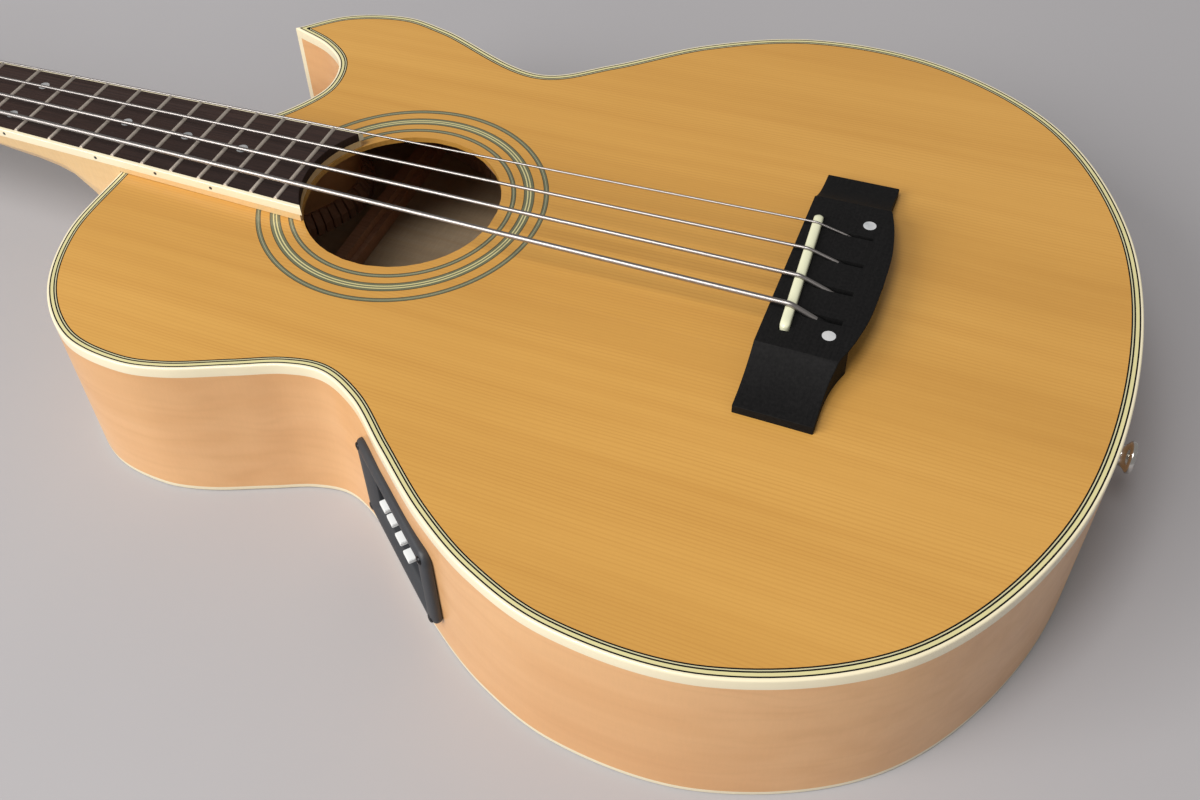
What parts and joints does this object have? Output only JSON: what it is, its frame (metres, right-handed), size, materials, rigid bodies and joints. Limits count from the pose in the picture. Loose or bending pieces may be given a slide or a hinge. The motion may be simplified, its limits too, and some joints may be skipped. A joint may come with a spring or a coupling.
{
  "type": "acoustic bass guitar",
  "caption": "Electro-acoustic bass guitar with a pointed cutaway, arched spruce top, glued bridge with slanted saddle, fretted neck, geared tuners and a preamp in the side.",
  "frame": {"origin": "on the outer face of the back, straight below the middle of the soundhole", "axes": "+X from the headstock to the tail along the strings, +Y to the treble side, which has the cutaway, +Z out of the top"},
  "size_m": [1.2214, 0.4138, 0.1139],
  "materials": {
    "spruce": "gloss lacquer over fine straight spruce grain, amber",
    "maple_side": "gloss lacquer over plain maple",
    "maple_neck": "satin lacquer over maple",
    "inner_wood": "bare, dusty",
    "rosewood": "open grain, oiled",
    "ebony": "close grain, worn satin",
    "cream": "polished cream",
    "purfling_mix": "black, grey-green and pale lines under lacquer",
    "saddle_cream": "satin, slightly green",
    "nickel": "polished nickel plate",
    "string_metal": "fine round winding",
    "rod_steel": "plain",
    "black_plastic": "fine satin texture",
    "white_plastic": "satin"
  },
  "bodies": {
    "body_and_neck": {"back_binding": "cream", "back_bracing": "inner_wood", "back_lining": "inner_wood", "back_plate": "maple_side", "battery": "black_plastic", "board_binding_bass": "cream", "board_binding_treble": "cream", "bridge": "ebony", "bridge_plate": "inner_wood", "endpin_jack": "nickel", "fingerboard": "rosewood", "headstock_veneer": "ebony", "heel_cap": "cream", "horn_binding": "cream", "neck": "maple_neck", "neck_block": "inner_wood", "nut": "cream", "preamp_frame": "black_plastic", "preamp_housing": "black_plastic", "purfling": "purfling_mix", "rosette": "purfling_mix", "saddle": "saddle_cream", "saddle_pickup": "rod_steel", "side_bass": "maple_side", "side_cutaway": "maple_side", "side_treble": "maple_side", "string_a": "string_metal", "string_d": "string_metal", "string_e": "string_metal", "string_g": "string_metal", "tail_block": "inner_wood", "tone_bar": "inner_wood", "top_binding": "cream", "top_lining": "inner_wood", "top_plate": "spruce", "transverse_brace": "inner_wood", "truss_rod": "rod_steel", "truss_rod_cover": "black_plastic", "tuner_bushing_a": "nickel", "tuner_bushing_d": "nickel", "tuner_bushing_e": "nickel", "tuner_bushing_g": "nickel", "tuner_plate_a": "nickel", "tuner_plate_d": "nickel", "tuner_plate_e": "nickel", "tuner_plate_g": "nickel", "x_brace_bass": "inner_wood", "x_brace_treble": "inner_wood"},
    "post_e": {"tuner_post_e": "nickel"},
    "key_e": {"tuner_key_e": "nickel"},
    "post_a": {"tuner_post_a": "nickel"},
    "key_a": {"tuner_key_a": "nickel"},
    "post_d": {"tuner_post_d": "nickel"},
    "key_d": {"tuner_key_d": "nickel"},
    "post_g": {"tuner_post_g": "nickel"},
    "key_g": {"tuner_key_g": "nickel"},
    "slider_1": {"preamp_slider_1": "white_plastic"},
    "slider_2": {"preamp_slider_2": "white_plastic"},
    "slider_3": {"preamp_slider_3": "white_plastic"},
    "slider_4": {"preamp_slider_4": "white_plastic"}
  },
  "joints": [
    {"name": "post_e_turn", "type": "hinge", "parent": "body_and_neck", "child": "post_e", "pos_m": [-0.71882, -0.025, 0.08108], "axis": [-0.2328, 0, 0.9725], "continuous": true},
    {"name": "key_e_turn", "type": "hinge", "parent": "body_and_neck", "child": "key_e", "pos_m": [-0.69902, -0.025, 0.06279], "axis": [0, 1, 0], "continuous": true},
    {"name": "post_a_turn", "type": "hinge", "parent": "body_and_neck", "child": "post_a", "pos_m": [-0.79275, -0.024, 0.06339], "axis": [-0.2328, 0, 0.9725], "continuous": true},
    {"name": "key_a_turn", "type": "hinge", "parent": "body_and_neck", "child": "key_a", "pos_m": [-0.77294, -0.024, 0.0451], "axis": [0, 1, 0], "continuous": true},
    {"name": "post_d_turn", "type": "hinge", "parent": "body_and_neck", "child": "post_d", "pos_m": [-0.79275, 0.024, 0.06339], "axis": [-0.2328, 0, 0.9725], "continuous": true},
    {"name": "key_d_turn", "type": "hinge", "parent": "body_and_neck", "child": "key_d", "pos_m": [-0.77294, 0.024, 0.0451], "axis": [0, 1, 0], "continuous": true},
    {"name": "post_g_turn", "type": "hinge", "parent": "body_and_neck", "child": "post_g", "pos_m": [-0.71882, 0.025, 0.08108], "axis": [-0.2328, 0, 0.9725], "continuous": true},
    {"name": "key_g_turn", "type": "hinge", "parent": "body_and_neck", "child": "key_g", "pos_m": [-0.69902, 0.025, 0.06279], "axis": [0, 1, 0], "continuous": true},
    {"name": "slider_1_slide", "type": "slide", "parent": "body_and_neck", "child": "slider_1", "axis": [0, 0, 1], "range_m": [-0.0156, 0.0004]},
    {"name": "slider_2_slide", "type": "slide", "parent": "body_and_neck", "child": "slider_2", "axis": [0, 0, 1], "range_m": [-0.0156, 0.0004]},
    {"name": "slider_3_slide", "type": "slide", "parent": "body_and_neck", "child": "slider_3", "axis": [0, 0, 1], "range_m": [-0.0124, 0.0036]},
    {"name": "slider_4_slide", "type": "slide", "parent": "body_and_neck", "child": "slider_4", "axis": [0, 0, 1], "range_m": [-0.01, 0.006]}
  ],
  "couplings": [
    {"joint": "key_e_turn", "follows": "post_e_turn", "ratio": 20},
    {"joint": "key_a_turn", "follows": "post_a_turn", "ratio": 20},
    {"joint": "key_d_turn", "follows": "post_d_turn", "ratio": 20},
    {"joint": "key_g_turn", "follows": "post_g_turn", "ratio": 20}
  ]
}
